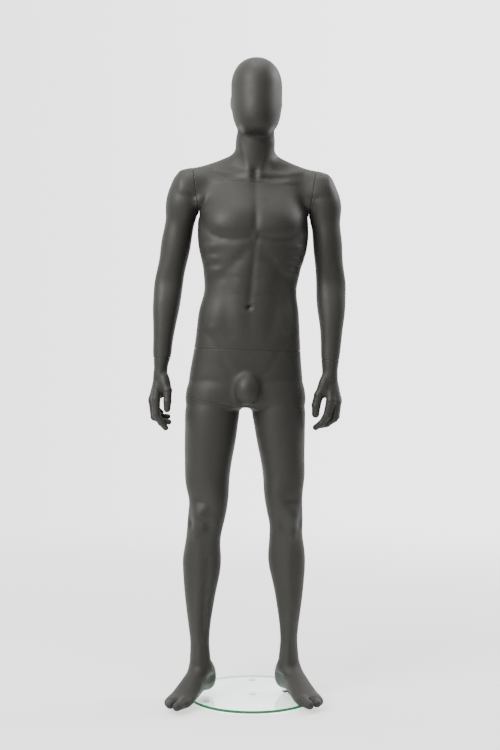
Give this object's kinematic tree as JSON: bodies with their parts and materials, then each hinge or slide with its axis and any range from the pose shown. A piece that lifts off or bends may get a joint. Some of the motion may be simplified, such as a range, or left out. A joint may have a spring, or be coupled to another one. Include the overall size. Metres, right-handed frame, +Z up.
{
  "type": "full body mannequin",
  "caption": "Standing faceless male shop mannequin on a round glass base, with a lift-off torso, turning detachable arms and hands, and a twist-lock leg.",
  "frame": {"origin": "centre of the round glass base, on the floor", "axes": "+Z up, the figure faces -Y, +X is the figure's own left"},
  "size_m": [0.5892, 0.3972, 1.8937],
  "materials": {
    "skin": "matte",
    "board": "sawn fibreboard",
    "steel": "turned",
    "zinc": "zinc plated",
    "chrome": "polished",
    "rubber": "clear silicone",
    "glass": "clear, polished edge"
  },
  "bodies": {
    "base": {"base_bolt": "zinc", "base_flange": "chrome", "base_gasket": "rubber", "collar_screw": "zinc", "glass_disc": "glass", "pad_1": "rubber", "pad_2": "rubber", "pad_3": "rubber", "pad_centre": "rubber", "spigot_rod": "steel"},
    "pelvis": {"foot_socket_tube": "steel", "pelvis_board": "board", "pelvis_left_leg_shell": "skin", "spigot_screw_back": "zinc", "spigot_screw_front": "zinc", "thigh_board": "board", "thigh_screw_back": "zinc", "thigh_screw_front": "zinc", "thigh_socket": "steel", "waist_dowel_left": "steel", "waist_dowel_right": "steel", "waist_spigot": "steel"},
    "torso": {"left_ring_screw_back": "zinc", "left_ring_screw_front": "zinc", "left_shoulder_board": "board", "left_shoulder_ring": "steel", "right_ring_screw_back": "zinc", "right_ring_screw_front": "zinc", "right_shoulder_board": "board", "right_shoulder_ring": "steel", "socket_screw_back": "zinc", "socket_screw_front": "zinc", "torso_board": "board", "torso_shell": "skin", "waist_socket": "steel"},
    "right_leg": {"leg_board": "board", "leg_screw_back": "zinc", "leg_screw_front": "zinc", "leg_spigot": "steel", "right_leg_shell": "skin"},
    "right_shoulder_swivel": {"right_shoulder_swivel": "zinc"},
    "right_arm": {"right_arm_board": "board", "right_arm_screw_high": "zinc", "right_arm_screw_low": "zinc", "right_arm_shell": "skin", "right_arm_spigot": "steel", "right_forearm_plug": "board"},
    "right_wrist_swivel": {"right_wrist_swivel": "zinc"},
    "right_hand": {"right_hand": "skin", "right_hand_stud": "steel"},
    "left_shoulder_swivel": {"left_shoulder_swivel": "zinc"},
    "left_arm": {"left_arm_board": "board", "left_arm_screw_high": "zinc", "left_arm_screw_low": "zinc", "left_arm_shell": "skin", "left_arm_spigot": "steel", "left_forearm_plug": "board"},
    "left_wrist_swivel": {"left_wrist_swivel": "zinc"},
    "left_hand": {"left_hand": "skin", "left_hand_stud": "steel"}
  },
  "joints": [
    {"name": "figure_lift_off", "type": "slide", "parent": "base", "child": "pelvis", "axis": [0, 0, 1], "range_m": [0, 0.18]},
    {"name": "torso_lift_off", "type": "slide", "parent": "pelvis", "child": "torso", "axis": [0.0257, 0, 0.9997], "range_m": [0, 0.1]},
    {"name": "right_leg_twist", "type": "hinge", "parent": "pelvis", "child": "right_leg", "pos_m": [-0.118, 0.006, 0.881], "axis": [-0.2189, 0, -0.9758], "range_deg": [0, 14]},
    {"name": "right_shoulder_turn", "type": "hinge", "parent": "torso", "child": "right_shoulder_swivel", "pos_m": [-0.1671, 0.022, 1.5086], "axis": [-0.9914, 0, -0.1309], "range_deg": [-30, 100]},
    {"name": "right_arm_pull_off", "type": "slide", "parent": "right_shoulder_swivel", "child": "right_arm", "axis": [-0.9914, 0, -0.1309], "range_m": [0, 0.08]},
    {"name": "right_wrist_turn", "type": "hinge", "parent": "right_arm", "child": "right_wrist_swivel", "pos_m": [-0.26841, -0.00252, 1.0103], "axis": [0, 0, 1], "range_deg": [-90, 90]},
    {"name": "right_hand_pull_off", "type": "slide", "parent": "right_wrist_swivel", "child": "right_hand", "axis": [0, 0, -1], "range_m": [0, 0.06]},
    {"name": "left_shoulder_turn", "type": "hinge", "parent": "torso", "child": "left_shoulder_swivel", "pos_m": [0.1789, 0.022, 1.50195], "axis": [-0.9896, 0, 0.1436], "range_deg": [-30, 100]},
    {"name": "left_arm_pull_off", "type": "slide", "parent": "left_shoulder_swivel", "child": "left_arm", "axis": [0.9896, 0, -0.1436], "range_m": [0, 0.08]},
    {"name": "left_wrist_turn", "type": "hinge", "parent": "left_arm", "child": "left_wrist_swivel", "pos_m": [0.23103, -0.00307, 1.0044], "axis": [0, 0, 1], "range_deg": [-90, 90]},
    {"name": "left_hand_pull_off", "type": "slide", "parent": "left_wrist_swivel", "child": "left_hand", "axis": [0, 0, -1], "range_m": [0, 0.06]}
  ]
}
